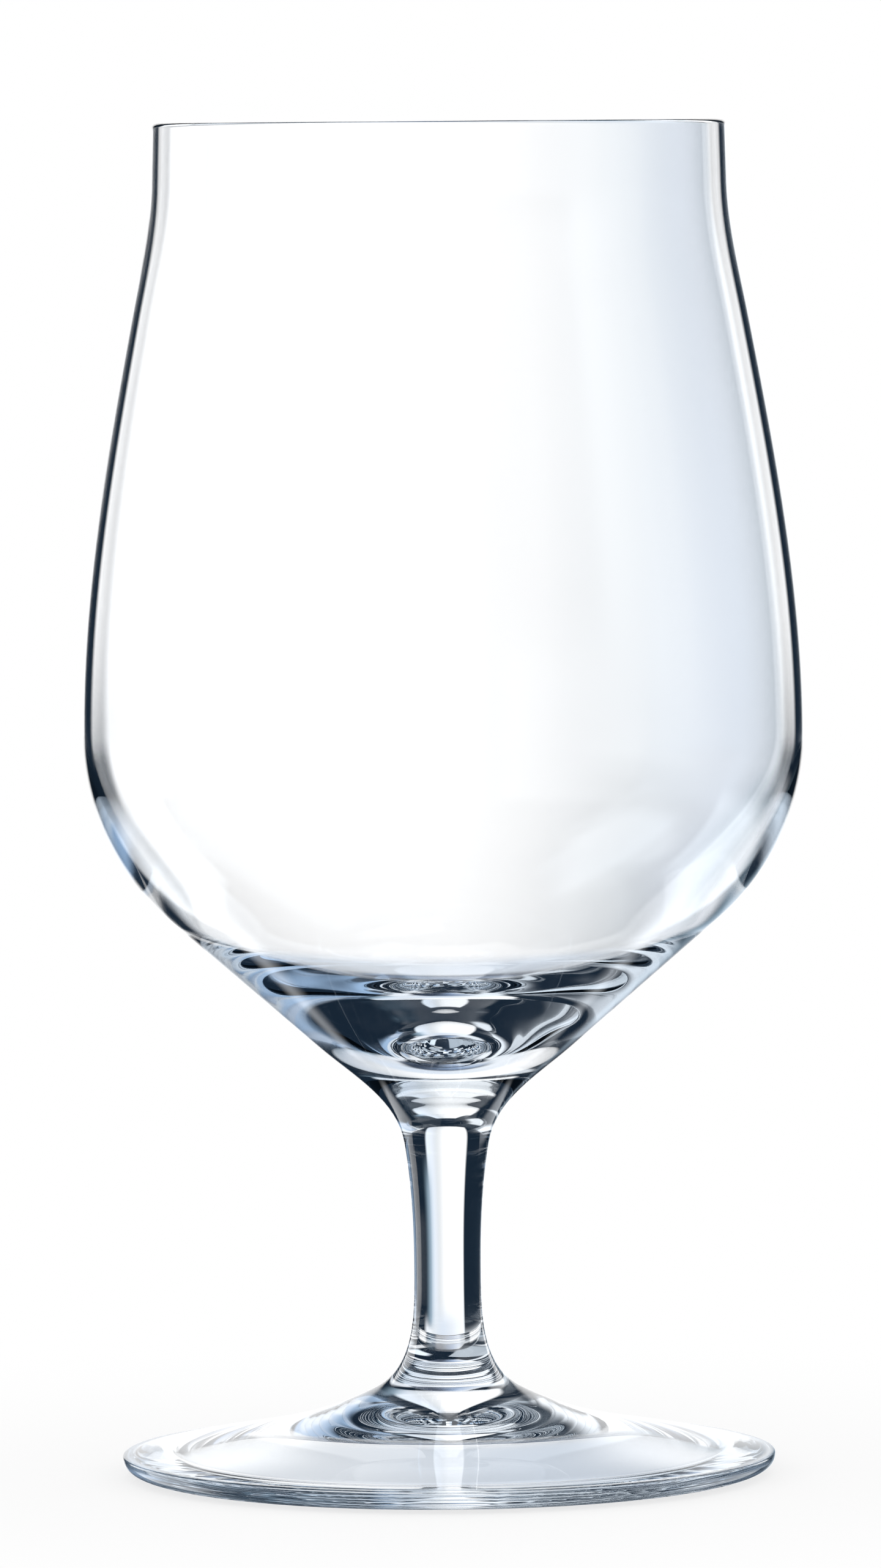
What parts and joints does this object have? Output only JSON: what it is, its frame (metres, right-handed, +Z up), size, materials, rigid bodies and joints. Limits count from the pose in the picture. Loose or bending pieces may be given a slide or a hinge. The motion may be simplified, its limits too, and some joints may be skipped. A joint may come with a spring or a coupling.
{
  "type": "beer glass",
  "caption": "Stemmed beer glass in clear glass: tulip bowl with a straight lip and a conical base, a slim solid stem and a round foot, hollow underneath.",
  "frame": {"origin": "centre of the foot's underside, in the plane of the table", "axes": "+Z up along the glass's own axis; the glass is round, so X and Y are free"},
  "size_m": [0.0892, 0.0892, 0.1675],
  "materials": {
    "clear_glass": "polished clear glass, smooth and colourless, fire-polished rim"
  },
  "bodies": {
    "root": {"beer_glass": "clear_glass"}
  },
  "joints": []
}
